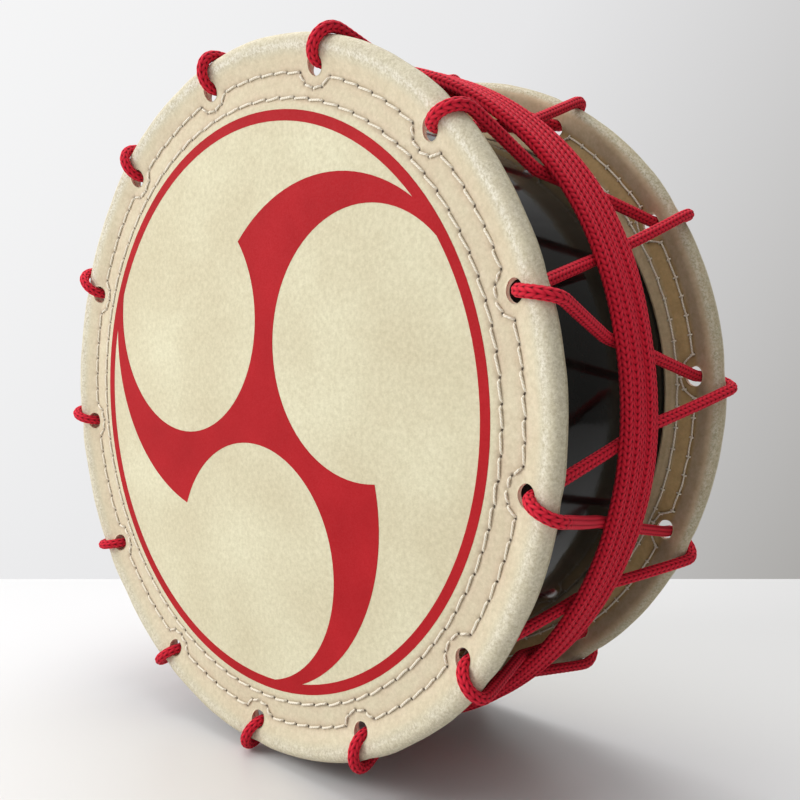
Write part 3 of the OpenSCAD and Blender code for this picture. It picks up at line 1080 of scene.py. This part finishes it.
def hitch(material):
    """Turns of the same rope drawn round the wound turns."""
    tubes = Tubes()
    half_w = WAIST_TURNS * ROPE_D / 2 + ROPE_D / 2 + 0.2
    half_h = ROPE_D + 0.1
    corner = ROPE_D / 2 + 1.2
    rope_a = math.degrees(ROPE_D / WAIST_R)
    for k in range(HITCH_TURNS):
        a_off = (k - (HITCH_TURNS - 1) / 2) * math.degrees((ROPE_D + 0.15) / WAIST_R)
        pts = []
        for right, up, start in ((1, 1, 0), (-1, 1, 90), (-1, -1, 180), (1, -1, 270)):
            for t in np.radians(np.linspace(start, start + 90, 12)):
                y = right * (half_w - corner) + corner * math.cos(t)
                h = up * (half_h - corner) + corner * math.sin(t)
                pts.append((y, h))
        pts.append(pts[0])
        y, h = np.array(pts).T
        slant = np.linspace(-0.5, 0.5, len(y)) * rope_a * 0.9
        path = smoothed(resample(around(WAIST_R + h, HITCH_A + a_off + slant, y), PATH_STEP), 3)
        tubes.add(path, ROPE_D / 2 - 0.1, ROPE_SIDES, height=braid_height, relief=0.5, v0=3.0 * k)
    return tubes.build("waist_hitch_turns", material)


# ---------------------------------------------------------------- shell

SHELL_STEPS = 720
SHELL_WALL = 12.0
SHELL_BEVEL = 1.2
# Depth and width of the faint lines that the staves' seams draw in the lacquer
STAVE_LINE = (0.05, 0.5)


def shell(material, inside_material):
    """The tub as one closed skin, lacquered outside and on its edges and bare inside."""
    b, inner = SHELL_BEVEL, SHELL_R - SHELL_WALL
    ys = np.linspace(-SHELL_HALF + b, SHELL_HALF - b, 25)
    outside = [(SHELL_R, y) for y in ys]
    outside += [(SHELL_R - b * 0.3, SHELL_HALF - b * 0.3), (SHELL_R - b, SHELL_HALF)]
    outside += [(inner + b, SHELL_HALF), (inner, SHELL_HALF - b)]
    inside = [(inner, y) for y in ys[::-1][1:-1]]
    edge = [(inner, -SHELL_HALF + b), (inner + b, -SHELL_HALF)]
    edge += [(SHELL_R - b, -SHELL_HALF), (SHELL_R - b * 0.3, -SHELL_HALF + b * 0.3)]
    ring = np.array(outside + inside + edge)
    n, cols = SHELL_STEPS, len(ring)
    R = np.repeat(ring[None, :, 0], n, 0)
    Y = np.repeat(ring[None, :, 1], n, 0)
    A = np.repeat((np.arange(n) * 360 / n)[:, None], cols, 1)
    stave = 360 / len(staves)
    from_seam = (0.5 - abs((A / stave) % 1 - 0.5)) * stave
    R = R - STAVE_LINE[0] * bell(from_seam, STAVE_LINE[1]) * (R > SHELL_R - 2)
    i, j = np.meshgrid(np.arange(n), np.arange(cols), indexing="ij")
    i2, j2 = (i + 1) % n, (j + 1) % cols
    q = np.stack([i * cols + j, i * cols + j2, i2 * cols + j2, i2 * cols + j], -1).reshape(-1, 4)
    ob = make_mesh("lacquered_shell", (around(R, A, Y) * MM).reshape(-1, 3), [q[:, ::-1]])
    clothe(ob, material, inside_material)
    bare = (j >= len(outside)) & (j < len(outside) + len(inside))
    ob.data.polygons.foreach_set("material_index", bare.reshape(-1).astype(np.int32))
    return ob


# ---------------------------------------------------------------- build

raw_hide = hide_material("raw_hide")
paint = paint_material()
lacquer = lacquer_material()
wood = wood_material()
rope = rope_material()
thread = thread_material()
steel = steel_material()

body_shell = shell(lacquer, wood)
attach(body_shell, "shell")
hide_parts(*staves)

for front, word in ((True, "front"), (False, "rear")):
    skin = hide(front, raw_hide)
    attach(skin, word + "_head")
    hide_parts(word + "_hide")

    inner_holes = [(ROWS[front][0], k * 360 / INNER_STITCHES) for k in range(INNER_STITCHES)]
    inner = stitches(front, word + "_inner_row_thread", thread, inner_holes, 0)
    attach(inner, word + "_head")
    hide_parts(word + "_inner_stitching")

    outer_holes = [(r, hole_angle(front, bay) + a) for bay in range(HOLES) for r, a in row_nodes(front)]
    outer = stitches(front, word + "_outer_row_thread", thread, outer_holes, 1)
    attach(outer, word + "_head")
    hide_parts(word + "_outer_stitching")

    lace = laces(front, rope)
    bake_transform(lace)
    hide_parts(word + "_lacing_loops", "lacing_runs")

wrap = waist(rope)
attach(wrap, "shell")
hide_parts("waist_rope")

tie = hitch(rope)
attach(tie, "shell")
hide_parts("waist_hitch")

clothe(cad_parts["front_painted_figure"], paint)
clothe(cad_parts["front_hoop"], steel)

rod = Tubes()
rod.add(around(np.full(361, ROLL_AT), np.arange(361.0), FACE + SEAM_Z), HOOP_R, ROPE_SIDES)
hoop = rod.build("rear_hoop_rod", steel)
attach(hoop, "rear_head")
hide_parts("rear_hoop")


# ---------------------------------------------------------------- stage

# The camera stands as the photo's does: its turn and downward tilt in radians, and its place in metres
CAM_TURN = 0.7628
CAM_TILT = 0.1237
CAM_PLACE = (0.4589, -0.4573, 0.2790)

# The floor's sides and its far edge from the drum's middle, in metres
FLOOR_SIDE = 6.0
FLOOR_BACK = 0.395


def floor():
    """A pale table top, whose far edge lies square to the camera's view as the table's does."""
    me = bpy.data.meshes.new("floor")
    near = -FLOOR_SIDE
    corners = []
    for right, ahead in ((near, near), (FLOOR_SIDE, near), (FLOOR_SIDE, FLOOR_BACK), (near, FLOOR_BACK)):
        x = right * math.cos(CAM_TURN) - ahead * math.sin(CAM_TURN)
        y = right * math.sin(CAM_TURN) + ahead * math.cos(CAM_TURN)
        corners.append((x, y, 0))
    me.from_pydata(corners, [], [(0, 1, 2, 3)])
    ob = bpy.data.objects.new("floor", me)
    bpy.context.scene.collection.objects.link(ob)
    m, nt, bsdf = new_mat("pale_floor")
    tone = mix(nt, noise(nt, object_coords(nt), 3, 2), (0.68, 0.68, 0.68), (0.71, 0.71, 0.71))
    nt.links.new(tone, bsdf.inputs["Base Color"])
    bsdf.inputs["Roughness"].default_value = 0.35
    clothe(ob, m)


def studio():
    """Soft light from the upper left and front, as from a large window, fading to the far right."""
    world = bpy.data.worlds.new("studio")
    bpy.context.scene.world = world
    world.use_nodes = True
    nt = world.node_tree
    toward = node(nt, "ShaderNodeVectorMath", operation="DOT_PRODUCT")
    nt.links.new(nt.nodes.new("ShaderNodeTexCoord").outputs["Generated"], toward.inputs[0])
    toward.inputs[1].default_value = (-0.80, -0.30, 0.52)
    away, aside = (0.07, 0.07, 0.068), (0.38, 0.37, 0.355)
    nearly, full = (0.80, 0.80, 0.81), (1.0, 1.0, 1.0)
    level = remap(nt, toward.outputs["Value"], -1, 1)
    glow = ramp(nt, level, [(0.0, away), (0.40, aside), (0.68, nearly), (1.0, full)])
    nt.links.new(glow, nt.nodes["Background"].inputs["Color"])
    nt.nodes["Background"].inputs["Strength"].default_value = 1.0
    bpy.context.scene.view_settings.view_transform = "Standard"


def area(name, location, size, power):
    """A soft light aimed at the drum's middle; location and size are in metres and power in watts."""
    light = bpy.data.lights.new(name, "AREA")
    light.shape = "RECTANGLE"
    light.size, light.size_y = size
    light.energy = power
    ob = bpy.data.objects.new(name, light)
    bpy.context.scene.collection.objects.link(ob)
    ob.location = location
    aim = Vector((0, 0, AXIS_Z * MM)) - Vector(location)
    ob.rotation_euler = aim.to_track_quat("-Z", "Y").to_euler()


def camera():
    data = bpy.data.cameras.new("camera")
    ob = bpy.data.objects.new("camera", data)
    bpy.context.scene.collection.objects.link(ob)
    bpy.context.scene.camera = ob
    data.sensor_width = 36
    data.lens = 40.91
    data.shift_x = 0.0265
    data.shift_y = 0.0662
    data.clip_start = 0.01
    data.clip_end = 50
    ob.location = CAM_PLACE
    ob.rotation_euler = (math.pi / 2 - CAM_TILT, 0, CAM_TURN)


floor()
studio()
area("front_soft", (-1.1, -1.5, 1.15), (1.0, 0.9), 22)
area("overhead_soft", (-0.2, 0.2, 1.7), (1.2, 1.2), 16)
camera()
